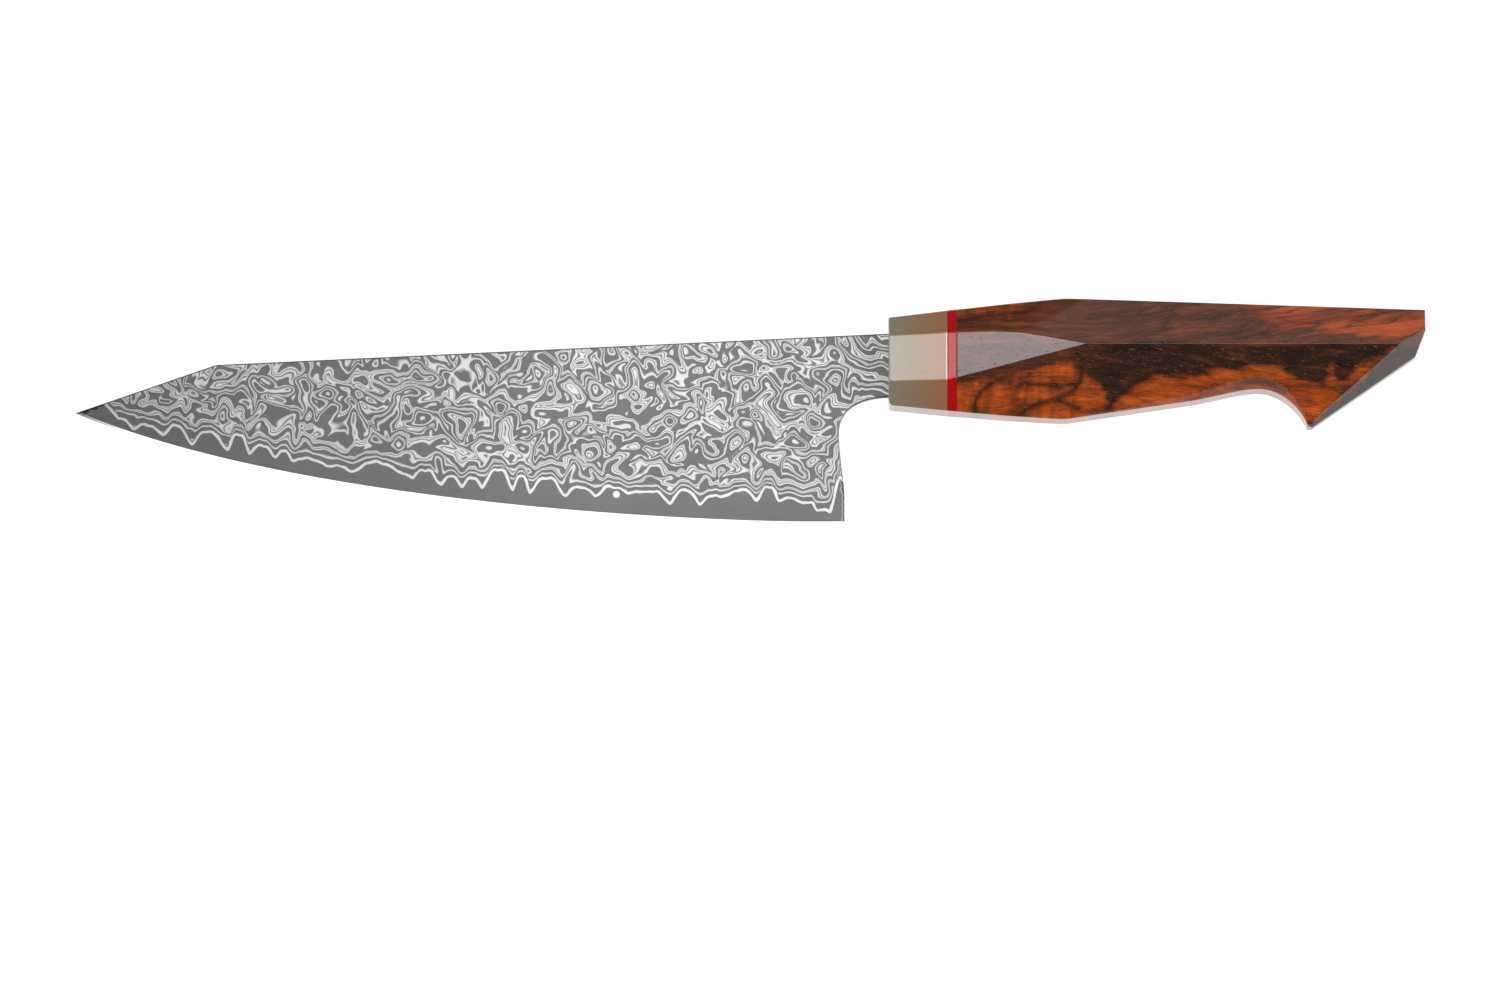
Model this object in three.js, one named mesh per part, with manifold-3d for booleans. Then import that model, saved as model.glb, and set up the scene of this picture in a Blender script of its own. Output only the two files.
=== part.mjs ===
// A kiritsuke-tipped gyuto: a three-layer steel blade on a hidden tang, in a faceted wooden handle
// with a horn ferrule and a red spacer. Millimetres.
//
// Working axes: X along the knife from the ferrule's front face towards the butt, Y up the blade
// towards the spine, Z out of the blade's mid-plane to the user's left. The knife is mirror-symmetric
// about Z = 0.
// The group at the end moves the origin to the middle of the footprint of the knife lying on its side.

import * as THREE from "three";
import { ConvexGeometry } from "three/addons/geometries/ConvexGeometry.js";
import { mergeVertices } from "three/addons/utils/BufferGeometryUtils.js";
import Module from "manifold-3d";

// ---- Driving dimensions ----

// Blade outline
const TIP_X = -222.1;
const TIP_Y = -13.5;
const CORNER_X = -183.8; // where the spine turns down to the tip
const CORNER_Y = -0.25;
const SPINE_Y = 8.3; // spine height at the ferrule
const HEEL_X = -12;
const HEEL_Y = -44;
const EDGE_PULLS = [[-161.3, -39.9], [-44.3, -44.6]]; // control points of the cutting edge's curve

// Choil: the curve from the heel up to the underside of the neck
const HEEL_TOP_Y = -37.1;
const CHOIL_X = -13.5; // deepest point
const CHOIL_Y = -19.8;
const NECK_BOTTOM_Y = -9.2;
const CHOIL_LOWER_PULLS = [[-12, -32.4], [-13.4, -26]];
const CHOIL_UPPER_PULLS = [[-13.9, -11.7], [-6.7, -9.4]];

// Blade thickness, as half-thicknesses of the mid-plane's two sides
const CORE_HALF = 0.4; // middle layer
const EDGE_HALF = 0.06;
const SPINE_HALF_FERRULE = 1.5;
const SPINE_HALF_CORNER = 0.8;
const SPINE_HALF_TIP = 0.42;
const CORE_SHOWS = 7.6; // height of bare core steel above the edge
const SECTION_GAP = 14; // distance between the sections along the blade, at most

// Neck and tang
const NECK_DEPTH = 3; // how far the full-height neck enters the ferrule
const TANG_MID_Y = 1;
const TANG_HALF = 1.1;
const TANG_FRONT_HEIGHT = 8.4;
const TANG_END_HEIGHT = 5.6;
const TANG_END_X = 74;

// Handle lengths
const FERRULE_END = 16.2;
const SPACER_END = 18.5;
const BUTT_X = 146.5;
const SIDE_HALF = 11.8; // half-thickness at the side facet and at the ridge behind it

// Inside the handle
const GAP = 0.3;
const SLOT_WALL = 2; // solid horn behind the neck's pocket
const DOWEL_START = NECK_DEPTH + GAP + SLOT_WALL + GAP;
const DOWEL_END = 80;
const DOWEL_RADIUS = 6.2;
const KERF_END = TANG_END_X + 2;
const KERF_HALF = 1.45;
const ROUND_SEGMENTS = 36;

// ---- Solids ----

const wasm = await Module();
wasm.setup();

function toSolid(geometry) {
  const bare = geometry.clone();
  bare.deleteAttribute("normal");
  bare.deleteAttribute("uv");
  const merged = mergeVertices(bare, 1e-4);
  return new wasm.Manifold(
    new wasm.Mesh({
      numProp: 3,
      vertProperties: new Float32Array(merged.attributes.position.array),
      triVerts: new Uint32Array(merged.index.array),
    }),
  );
}

function toGeometry(solid) {
  const mesh = solid.getMesh();
  const geometry = new THREE.BufferGeometry();
  geometry.setAttribute("position", new THREE.BufferAttribute(mesh.vertProperties, 3));
  geometry.setIndex(new THREE.BufferAttribute(mesh.triVerts, 1));
  geometry.computeVertexNormals();
  return geometry;
}

function joined(solids) {
  return solids.reduce((whole, next) => whole.add(next));
}

// A box between two corners.
function block(low, high) {
  const size = high.map((value, i) => value - low[i]);
  const geometry = new THREE.BoxGeometry(...size);
  geometry.translate(...high.map((value, i) => (value + low[i]) / 2));
  return toSolid(geometry);
}

// A round bar along X on the tang's axis.
function bar(startX, endX, radius) {
  const geometry = new THREE.CylinderGeometry(radius, radius, endX - startX, ROUND_SEGMENTS);
  geometry.rotateZ(Math.PI / 2);
  geometry.translate((startX + endX) / 2, TANG_MID_Y, 0);
  return toSolid(geometry);
}

// The convex solid around points given for the +Z side, each with its mirror image.
function symmetricHull(halfPoints) {
  const points = [];
  for (const [x, y, z] of halfPoints) {
    points.push(new THREE.Vector3(x, y, z));
    if (z > 0) points.push(new THREE.Vector3(x, y, -z));
  }
  return toSolid(new ConvexGeometry(points));
}

function mix(a, b, t) {
  return a + (b - a) * t;
}

// ---- Blade ----

const CUTTING_EDGE = new THREE.CubicBezierCurve(
  new THREE.Vector2(TIP_X, TIP_Y),
  new THREE.Vector2(...EDGE_PULLS[0]),
  new THREE.Vector2(...EDGE_PULLS[1]),
  new THREE.Vector2(HEEL_X, HEEL_Y),
);

function spineY(x) {
  if (x < CORNER_X) return mix(TIP_Y, CORNER_Y, (x - TIP_X) / (CORNER_X - TIP_X));
  return mix(CORNER_Y, SPINE_Y, (x - CORNER_X) / -CORNER_X);
}

function spineHalf(x) {
  if (x < CORNER_X) return mix(SPINE_HALF_TIP, SPINE_HALF_CORNER, (x - TIP_X) / (CORNER_X - TIP_X));
  return mix(SPINE_HALF_CORNER, SPINE_HALF_FERRULE, (x - CORNER_X) / -CORNER_X);
}

// One section across the blade: the cutting edge, the top of the bare core steel, and the spine.
function bladeSection(x, edgeY) {
  const top = spineY(x);
  const height = top - edgeY;
  const points = [[x, edgeY, EDGE_HALF]];
  if (height > CORE_SHOWS) {
    points.push([x, edgeY + CORE_SHOWS, CORE_HALF]);
    points.push([x, top, Math.max(spineHalf(x), CORE_HALF)]);
  } else {
    points.push([x, top, mix(EDGE_HALF, CORE_HALF, height / CORE_SHOWS)]);
  }
  return points;
}

function choilCutter() {
  const shape = new THREE.Shape();
  const below = HEEL_Y - 10;
  const behind = NECK_DEPTH + 10;
  shape.moveTo(HEEL_X, below);
  shape.lineTo(HEEL_X, HEEL_TOP_Y);
  shape.bezierCurveTo(...CHOIL_LOWER_PULLS[0], ...CHOIL_LOWER_PULLS[1], CHOIL_X, CHOIL_Y);
  shape.bezierCurveTo(...CHOIL_UPPER_PULLS[0], ...CHOIL_UPPER_PULLS[1], 0, NECK_BOTTOM_Y);
  shape.lineTo(behind, NECK_BOTTOM_Y);
  shape.lineTo(behind, below);
  const depth = 4 * SPINE_HALF_FERRULE;
  const geometry = new THREE.ExtrudeGeometry(shape, { depth, bevelEnabled: false, curveSegments: 8 });
  geometry.translate(0, 0, -depth / 2);
  return toSolid(geometry);
}

// The height of the cutting edge at x, by bisection along its curve.
function edgeYAt(x) {
  let low = 0;
  let high = 1;
  for (let i = 0; i < 40; i += 1) {
    const middle = (low + high) / 2;
    if (CUTTING_EDGE.getPoint(middle).x < x) low = middle;
    else high = middle;
  }
  return CUTTING_EDGE.getPoint(low).y;
}

// Evenly spaced values from start to end, without the start.
function steps(start, end, gap) {
  const count = Math.ceil((end - start) / gap);
  return Array.from({ length: count }, (_, i) => mix(start, end, (i + 1) / count));
}

// The whole steel billet as one outer shape: blade, neck and tang.
function billet() {
  const sections = [[[TIP_X, TIP_Y, EDGE_HALF]]];
  const stations = [
    ...steps(TIP_X, CORNER_X, SECTION_GAP / 2),
    ...steps(CORNER_X, HEEL_X, SECTION_GAP),
  ];
  for (const x of stations) sections.push(bladeSection(x, edgeYAt(x)));
  sections.push(bladeSection(NECK_DEPTH, HEEL_Y));
  const slices = [];
  for (let i = 1; i < sections.length; i += 1) {
    slices.push(symmetricHull([...sections[i - 1], ...sections[i]]));
  }
  return joined(slices).subtract(choilCutter()).add(tang(0));
}

// The tang, grown by `gap` at its top, bottom and end.
function tang(gap) {
  const front = TANG_FRONT_HEIGHT / 2 + gap;
  const end = TANG_END_HEIGHT / 2 + gap;
  const startX = NECK_DEPTH - 1;
  const endX = TANG_END_X + gap;
  return symmetricHull([
    [startX, TANG_MID_Y + front, TANG_HALF],
    [startX, TANG_MID_Y - front, TANG_HALF],
    [endX, TANG_MID_Y + end, TANG_HALF],
    [endX, TANG_MID_Y - end, TANG_HALF],
  ]);
}

// The part of the billet between two heights above its mid-plane.
function layer(whole, low, high) {
  const margin = 50;
  return whole.intersect(
    block([TIP_X - margin, HEEL_Y - margin, low], [TANG_END_X + margin, SPINE_Y + margin, high]),
  );
}

// ---- Handle ----

const RIDGE_Y = 4.2; // the straight ridge on each side, behind the side facet's point

// Half outlines across the handle, from the top edge down: [height, half-width] for the top edge,
// the side facet's top and bottom, and the bottom edge. The side facet ends in a point on the ridge.
const HANDLE_SECTIONS = [
  { x: 0, outline: [[12.05, 6], [6.3, SIDE_HALF], [-6.3, SIDE_HALF], [-12, 6]] },
  { x: FERRULE_END, outline: [[14, 6], [7.2, SIDE_HALF], [-5.9, SIDE_HALF], [-13.6, 6]] },
  { x: SPACER_END, outline: [[14.3, 6], [7.3, SIDE_HALF], [-5.4, SIDE_HALF], [-13.8, 6]] },
  { x: 32.8, outline: [[15.9, 6], [7.9, SIDE_HALF], [-1.6, SIDE_HALF], [-15, 5.7]] },
  { x: 48, outline: [[17.4, 6], [5.35, SIDE_HALF], [2.45, SIDE_HALF], [-15.9, 5.4]] },
  { x: 54.6, outline: [[17.2, 6.1], [RIDGE_Y, SIDE_HALF], [-16, 5.4]] },
];
const RIDGE_END_X = 139.5;
const BUTT_TOP = [14, 7.5]; // [height, half-width]
const BUTT_BOTTOM = [8, 10.1];
const BEAK_STRIP_HALF = 2.6; // the narrow strip between the two butt chamfers
const BEAK_TOP = [143.95, 1.65];
const BEAK_TIP = [115.8, -17.8];
const BEAK_CHEEK = [115.2, -16.5, 5.2]; // where chamfer, lower facet and finger groove meet

// Finger groove under the butt
const GROOVE_START = [48, -15.9];
const GROOVE_RAMP_END = [84, -10.6];
const GROOVE_TOP = [101.4, -7.5];
const GROOVE_END = [114.7, -18.2];
const GROOVE_RISE_PULLS = [[92.3, -8.9], [96.6, -7.5]];
const GROOVE_FALL_PULLS = [[105, -7.4], [111.9, -10.6]];
const GROOVE_FLAT_HALF = 5.3; // half-width of the groove's floor
const GROOVE_FLARE = 6; // how far the chamfers beside the floor spread up the sides
const GROOVE_FLARE_DEPTH = 7; // over this much of the handle's thickness

function atSection({ x, outline }) {
  return outline.map(([y, z]) => [x, y, z]);
}

function handleSlice(from, to) {
  return symmetricHull([...atSection(HANDLE_SECTIONS[from]), ...atSection(HANDLE_SECTIONS[to])]);
}

function rearBlock() {
  return symmetricHull([
    ...atSection(HANDLE_SECTIONS[5]),
    [RIDGE_END_X, RIDGE_Y, SIDE_HALF],
    [BUTT_X, ...BUTT_TOP],
    [BUTT_X, ...BUTT_BOTTOM],
    [...BEAK_TOP, BEAK_STRIP_HALF],
    [...BEAK_TIP, BEAK_STRIP_HALF],
    BEAK_CHEEK,
  ]);
}

// The finger groove's cutter. Its ends are wider than its middle, which leaves a chamfer on each side.
function grooveCutter() {
  const below = -40;
  const shape = new THREE.Shape();
  shape.moveTo(...GROOVE_START);
  shape.lineTo(...GROOVE_RAMP_END);
  shape.bezierCurveTo(...GROOVE_RISE_PULLS[0], ...GROOVE_RISE_PULLS[1], ...GROOVE_TOP);
  shape.bezierCurveTo(...GROOVE_FALL_PULLS[0], ...GROOVE_FALL_PULLS[1], ...GROOVE_END);
  shape.lineTo(GROOVE_END[0], below);
  shape.lineTo(GROOVE_START[0], below);
  const geometry = new THREE.ExtrudeGeometry(shape, {
    depth: 2 * GROOVE_FLAT_HALF,
    curveSegments: 10,
    bevelSegments: 1,
    bevelThickness: GROOVE_FLARE_DEPTH,
    bevelOffset: GROOVE_FLARE,
    bevelSize: -GROOVE_FLARE,
  });
  geometry.translate(0, 0, -GROOVE_FLAT_HALF);
  return toSolid(geometry);
}

function ferrule() {
  const pocketEnd = NECK_DEPTH + GAP;
  const neckPocket = block(
    [-1, NECK_BOTTOM_Y - GAP, -SPINE_HALF_FERRULE - GAP],
    [pocketEnd, SPINE_Y + 2 * GAP, SPINE_HALF_FERRULE + GAP],
  );
  const slotHalfHeight = TANG_FRONT_HEIGHT / 2 + GAP;
  const tangSlot = block(
    [pocketEnd - 1, TANG_MID_Y - slotHalfHeight, -TANG_HALF - GAP],
    [FERRULE_END, TANG_MID_Y + slotHalfHeight, TANG_HALF + GAP],
  );
  return handleSlice(0, 1)
    .subtract(neckPocket)
    .subtract(tangSlot)
    .subtract(bar(DOWEL_START - GAP, FERRULE_END + 1, DOWEL_RADIUS + GAP));
}

function spacer() {
  return handleSlice(1, 2).subtract(bar(FERRULE_END - 1, SPACER_END + 1, DOWEL_RADIUS + GAP));
}

function handleBody() {
  return joined([handleSlice(2, 3), handleSlice(3, 4), handleSlice(4, 5), rearBlock()])
    .subtract(grooveCutter())
    .subtract(bar(SPACER_END - 1, DOWEL_END + GAP, DOWEL_RADIUS + GAP));
}

function kerf(startX, endX, halfHeight) {
  return block(
    [startX, TANG_MID_Y - halfHeight, -KERF_HALF],
    [endX, TANG_MID_Y + halfHeight, KERF_HALF],
  );
}

function dowel() {
  return bar(DOWEL_START, DOWEL_END, DOWEL_RADIUS).subtract(
    kerf(DOWEL_START - 1, KERF_END, DOWEL_RADIUS + 1),
  );
}

// The epoxy that fills the dowel's kerf around the tang.
function tangBedding() {
  return bar(DOWEL_START, KERF_END, DOWEL_RADIUS)
    .intersect(kerf(DOWEL_START - 1, KERF_END, DOWEL_RADIUS + 1))
    .subtract(tang(GAP));
}

// ---- Scene graph ----

const knife = new THREE.Group();
const footprintMiddleX = (TIP_X + BUTT_X) / 2;
const handleTopY = HANDLE_SECTIONS[4].outline[0][0];
const footprintMiddleY = (HEEL_Y + handleTopY) / 2;
knife.position.set(-footprintMiddleX, -footprintMiddleY, SIDE_HALF);

function addPiece(name, solid, color, roughness, metalness) {
  const material = new THREE.MeshStandardMaterial({ color, roughness, metalness });
  const mesh = new THREE.Mesh(toGeometry(solid), material);
  mesh.name = name;
  knife.add(mesh);
}

const steel = billet();
const outside = 5;
addPiece("core_steel", layer(steel, -CORE_HALF, CORE_HALF), 0x8b8b8c, 0.35, 1);
addPiece("cladding_left", layer(steel, CORE_HALF, outside), 0xa4a4a6, 0.4, 1);
addPiece("cladding_right", layer(steel, -outside, -CORE_HALF), 0xa4a4a6, 0.4, 1);
addPiece("horn_ferrule", ferrule(), 0x8a7260, 0.3, 0);
addPiece("red_spacer", spacer(), 0xb00814, 0.3, 0);
addPiece("handle_body", handleBody(), 0x7a3b1c, 0.35, 0);
addPiece("tang_dowel", dowel(), 0xb99a6b, 0.7, 0);
addPiece("tang_bedding", tangBedding(), 0xc9b98f, 0.5, 0);

export default knife;
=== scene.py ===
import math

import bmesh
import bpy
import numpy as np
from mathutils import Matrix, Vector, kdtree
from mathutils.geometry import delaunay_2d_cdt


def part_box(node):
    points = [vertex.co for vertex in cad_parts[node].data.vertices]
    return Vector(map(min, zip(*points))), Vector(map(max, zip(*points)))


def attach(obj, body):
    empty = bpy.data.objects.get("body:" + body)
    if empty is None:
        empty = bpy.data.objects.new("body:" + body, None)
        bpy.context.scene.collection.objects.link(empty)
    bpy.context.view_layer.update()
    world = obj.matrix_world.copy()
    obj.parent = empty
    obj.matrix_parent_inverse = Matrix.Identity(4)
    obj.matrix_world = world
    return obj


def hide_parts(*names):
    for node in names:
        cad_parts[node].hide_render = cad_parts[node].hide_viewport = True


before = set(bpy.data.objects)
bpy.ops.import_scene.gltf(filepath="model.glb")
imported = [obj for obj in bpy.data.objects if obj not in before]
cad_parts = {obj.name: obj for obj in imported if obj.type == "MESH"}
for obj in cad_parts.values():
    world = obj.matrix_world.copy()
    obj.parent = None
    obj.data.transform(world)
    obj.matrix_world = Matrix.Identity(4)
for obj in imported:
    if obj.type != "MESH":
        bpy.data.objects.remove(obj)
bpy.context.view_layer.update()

# The looks of a kiritsuke-tipped chef knife. The design frame below is the one the CAD was drawn in:
# millimetres, X from the ferrule's front face towards the butt, Y up the blade towards the spine,
# Z out of the blade's mid-plane. `to_row` moves a point from there to the row frame in metres.
# Every visible piece is a slab about the mid-plane: an outline in X and Y, a height function on
# each side, and walls along the outline.

MM = 0.001

# ---- Design numbers, as in the CAD ----

TIP = (-222.1, -13.5)
CORNER = (-183.8, -0.25)  # where the spine turns down to the tip
SPINE_Y = 8.3  # spine height at the ferrule
HEEL = (-12.0, -44.0)
EDGE_PULLS = ((-161.3, -39.9), (-44.3, -44.6))
HEEL_TOP = (-12.0, -37.1)
CHOIL = (-13.5, -19.8)
CHOIL_LOWER_PULLS = ((-12.0, -32.4), (-13.4, -26.0))
CHOIL_UPPER_PULLS = ((-13.9, -11.7), (-6.7, -9.4))
NECK_BOTTOM = (0.0, -9.2)
NECK_END_X = 3.0
CORE_HALF = 0.4
EDGE_HALF = 0.06
CORE_TAPER = 7.6  # the core reaches its full thickness this far above the edge
SPINE_HALF_STATIONS = (-222.1, -183.8, 0.0)
SPINE_HALF_VALUES = (0.42, 0.8, 1.5)
TANG_START_X = 2.0
TANG_END_X = 74.0
TANG_MID_Y = 1.0
TANG_HALF = 1.1
TANG_HEIGHTS = (8.4, 5.6)
TANG_EASE = 0.25  # how far the tang's corners are cut off

FERRULE_END = 16.2
SPACER_END = 18.5
BUTT_X = 146.5
SIDE_HALF = 11.8
RIDGE_Y = 4.2
KNEE_X = 32.8  # where the side facet's upper edge turns down
POINT_X = 54.6  # where the side facet runs out on the ridge
BEAK_X = 139.5  # where the beak's slanted facet meets the ridge
PEAK = (48.0, 17.4)
TOP_LINE = (
    (0.0, 12.05), (FERRULE_END, 14.0), (SPACER_END, 14.3), (KNEE_X, 15.9), PEAK, (POINT_X, 17.2),
    (BUTT_X, 14.0),
)
BOTTOM_LINE = ((0.0, -12.0), (FERRULE_END, -13.6), (SPACER_END, -13.8), (KNEE_X, -15.0), (PEAK[0], -15.9))
LOWER_EDGE = ((0.0, -6.3), (FERRULE_END, -5.9), (SPACER_END, -5.4), (POINT_X, RIDGE_Y))  # of the side facet
BUTT_LOW = (BUTT_X, 8.0)
BEAK_TOP = (143.95, 1.65)
BEAK_TIP = (115.8, -17.8)
GROOVE_RAMP_END = (84.0, -10.6)
GROOVE_TOP = (101.4, -7.5)
GROOVE_END = (114.7, -18.2)
GROOVE_RISE_PULLS = ((92.3, -8.9), (96.6, -7.5))
GROOVE_FALL_PULLS = ((105.0, -7.4), (111.9, -10.6))
GROOVE_HALF = 5.3
GROOVE_FLARE_SLOPE = 7.0 / 6.0  # rise of the groove's chamfer per millimetre from its floor

# ---- Frame ----

ferrule_low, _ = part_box("horn_ferrule")
wood_low, wood_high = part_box("handle_body")
ORIGIN = Vector((ferrule_low.x, wood_high.y - PEAK[1] * MM, (wood_low.z + wood_high.z) / 2))


def to_row(points):
    return np.asarray(points, float) * MM + np.array(ORIGIN)


# ---- Small maths ----


def mix(a, b, t):
    return a + (b - a) * t


def ease(value, start, end):
    t = np.clip((value - start) / (end - start), 0.0, 1.0)
    return t * t * (3 - 2 * t)


def soft_min(a, b, radius):
    """The lower of two heights, with the corner between them rounded."""
    h = np.maximum(radius - np.abs(a - b), 0.0) / radius
    return np.minimum(a, b) - h * h * radius / 4


def bezier(start, pulls, end, count=400):
    t = np.linspace(0, 1, count)[:, None]
    p0, p1, p2, p3 = (np.array(p, float) for p in (start, *pulls, end))
    return (1 - t) ** 3 * p0 + 3 * (1 - t) ** 2 * t * p1 + 3 * (1 - t) * t * t * p2 + t ** 3 * p3


def spaced(points, gap):
    """The same line with evenly spaced points about `gap` apart, both ends kept."""
    points = np.asarray(points, float)
    lengths = np.hypot(*np.diff(points, axis=0).T)
    along = np.concatenate([[0], np.cumsum(lengths)])
    count = max(int(round(along[-1] / gap)), 1) + 1
    where = np.linspace(0, along[-1], count)
    return np.column_stack([np.interp(where, along, points[:, i]) for i in (0, 1)])


def chain(*lines):
    """Lines joined end to end, with each shared point kept once and the last point left out."""
    return np.concatenate([np.asarray(line)[:-1] for line in lines])


def distance_to(line, x, y):
    best = np.full(np.shape(x), 1e9)
    line = np.asarray(line, float)
    for (ax, ay), (bx, by) in zip(line[:-1], line[1:]):
        dx, dy = bx - ax, by - ay
        if dx == dy == 0:
            continue
        t = np.clip(((x - ax) * dx + (y - ay) * dy) / (dx * dx + dy * dy), 0, 1)
        best = np.minimum(best, np.hypot(x - ax - t * dx, y - ay - t * dy))
    return best


def rounding(distance, radius):
    """How far a rounded edge drops below its surface, at a distance from the outline."""
    t = np.clip(1 - distance / radius, 0, 1)
    return radius * (1 - np.sqrt(1 - t * t))


class Noise:
    """Seeded gradient noise in two dimensions, about -1 to 1."""

    def __init__(self, seed):
        random = np.random.RandomState(seed)
        self.order = np.concatenate([random.permutation(256)] * 2)
        angles = random.uniform(0, 2 * np.pi, 256)
        self.slopes = np.column_stack([np.cos(angles), np.sin(angles)])

    def __call__(self, x, y):
        column, row = np.floor(x).astype(int), np.floor(y).astype(int)
        u, v = x - column, y - row

        def corner(i, j):
            slope = self.slopes[self.order[self.order[(column + i) & 255] + ((row + j) & 255)]]
            return slope[..., 0] * (u - i) + slope[..., 1] * (v - j)

        eu, ev = (t ** 3 * (t * (t * 6 - 15) + 10) for t in (u, v))
        return mix(mix(corner(0, 0), corner(1, 0), eu), mix(corner(0, 1), corner(1, 1), eu), ev) * 1.5


# ---- Slabs ----


def inside(outline, x, y):
    hit = np.zeros(x.shape, bool)
    for (ax, ay), (bx, by) in zip(outline, np.roll(outline, -1, axis=0)):
        if ay == by:
            continue
        crosses = (ay > y) != (by > y)
        hit ^= crosses & (x < ax + (y - ay) * (bx - ax) / (by - ay))
    return hit


def triangulate(outline, lines, spacing):
    """Fills an outline. Returns the points, the triangles and the outline's point numbers."""
    fixed = np.concatenate([outline, *lines]) if lines else outline
    low, high = outline.min(axis=0), outline.max(axis=0)
    rows = np.arange(low[1], high[1], spacing * math.sqrt(0.75))
    grid = []
    for i, row in enumerate(rows):
        xs = np.arange(low[0] + spacing / 2 * (i % 2), high[0], spacing)
        grid.append(np.column_stack([xs, np.full(len(xs), row)]))
    grid = np.concatenate(grid)
    grid = grid[inside(outline, grid[:, 0], grid[:, 1])]
    tree = kdtree.KDTree(len(fixed))
    for i, (x, y) in enumerate(fixed):
        tree.insert((x, y, 0), i)
    tree.balance()
    clear = [tree.find((x, y, 0))[2] > 0.55 * spacing for x, y in grid]
    grid = grid[np.array(clear, bool)]
    points = np.concatenate([fixed, grid])
    edges = []
    start = len(outline)
    for line in lines:
        edges += [(i, i + 1) for i in range(start, start + len(line) - 1)]
        start += len(line)
    result = delaunay_2d_cdt(
        [Vector(p) for p in points], edges, [list(range(len(outline)))], 1, 1e-6
    )
    place = {}
    for new, olds in enumerate(result[3]):
        for old in olds:
            place[old] = new
    loop = [place[i] for i in range(len(outline))]
    return np.array([tuple(v) for v in result[0]]), [list(f) for f in result[2]], loop


def slope_normals(height, x, y, side):
    step = 0.01
    gx = (height(x + step, y) - height(x - step, y)) / (2 * step)
    gy = (height(x, y + step) - height(x, y - step)) / (2 * step)
    normals = np.column_stack([-gx, -gy, np.ones(len(x))])
    normals /= np.linalg.norm(normals, axis=1)[:, None]
    normals[:, 2] *= side
    return normals


def outward(outline):
    """Unit vectors square to an outline at each of its points, pointing out of it."""
    before = outline - np.roll(outline, 1, axis=0)
    after = np.roll(outline, -1, axis=0) - outline
    before /= np.hypot(*before.T)[:, None]
    after /= np.hypot(*after.T)[:, None]
    along = before + after
    along /= np.hypot(*along.T)[:, None]
    area = np.sum(outline[:, 0] * np.roll(outline[:, 1], -1) - np.roll(outline[:, 0], -1) * outline[:, 1])
    turn = 1 if area > 0 else -1
    return np.column_stack([along[:, 1], -along[:, 0], np.zeros(len(outline))]) * turn


class Mesh:
    """Collects the points, faces, normals and layer values of one piece."""

    def __init__(self):
        self.points, self.normals, self.values, self.faces = [], [], [], []
        self.count = 0

    def add(self, points, normals, values):
        start = self.count
        self.points.append(points)
        self.normals.append(normals)
        self.values.append(values)
        self.count += len(points)
        return start

    def surface(self, outline, lines, spacing, height, side, value=None, sharp=(), smooth=None):
        """One face of a slab on the +Z or -Z side. Returns its outline's point numbers.

        The face turns over towards its walls along the outline, apart from the `sharp` outline points.
        Its shading follows the height function `smooth`, where one is given.
        """
        flat, triangles, loop = triangulate(outline, lines, spacing)
        x, y = flat.T
        z = height(x, y) * side
        normals = slope_normals(smooth or height, x, y, side)
        rounded = [i for i in range(len(outline)) if i not in sharp]
        normals[[loop[i] for i in rounded]] = outward(outline)[rounded]
        values = np.column_stack(value(x, y)) if value else np.zeros((len(x), 1))
        start = self.add(np.column_stack([x, y, z]), normals, values)
        self.faces += [[start + i for i in face] for face in triangles]
        return [start + i for i in loop]

    def walls(self, first, second, skip=()):
        count = len(first)
        for i in range(count):
            if i in skip:
                continue
            j = (i + 1) % count
            self.faces.append([first[i], first[j], second[j], second[i]])

    def finish(self, name, material, nodes, layers=()):
        points = np.concatenate(self.points)
        mesh = bpy.data.meshes.new(name)
        mesh.from_pydata(to_row(points).tolist(), [], self.faces)
        for column, layer_name in enumerate(layers):
            layer = mesh.attributes.new(layer_name, "FLOAT", "POINT")
            values = np.concatenate([part[:, column] for part in self.values])
            layer.data.foreach_set("value", values.astype(np.float32))
        tidy_faces(mesh)
        mesh.polygons.foreach_set("use_smooth", [True] * len(mesh.polygons))
        mesh.normals_split_custom_set_from_vertices(np.concatenate(self.normals).tolist())
        mesh.materials.append(material)
        piece = bpy.data.objects.new(name, mesh)
        bpy.context.scene.collection.objects.link(piece)
        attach(piece, "root")
        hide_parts(*nodes)


def tidy_faces(mesh):
    """Turns every face outwards."""
    work = bmesh.new()
    work.from_mesh(mesh)
    bmesh.ops.recalc_face_normals(work, faces=work.faces)
    work.to_mesh(mesh)
    work.free()


# ---- Blade shape ----

EDGE_LINE = bezier(TIP, EDGE_PULLS, HEEL)
EDGE_LINE[:, 1] = np.maximum(EDGE_LINE[:, 1], HEEL[1])
CHOIL_LINE = np.concatenate([
    bezier(HEEL_TOP, CHOIL_LOWER_PULLS, CHOIL, 60)[:-1],
    bezier(CHOIL, CHOIL_UPPER_PULLS, NECK_BOTTOM, 60),
])


def edge_y(x):
    return np.interp(x, EDGE_LINE[:, 0], EDGE_LINE[:, 1])


def spine_y(x):
    slope = (SPINE_Y - CORNER[1]) / -CORNER[0]
    behind = CORNER[1] + (x - CORNER[0]) * slope
    ahead = mix(TIP[1], CORNER[1], (x - TIP[0]) / (CORNER[0] - TIP[0]))
    return np.where(x < CORNER[0], ahead, behind)


def spine_point(x):
    return (x, float(spine_y(x)))


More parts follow.
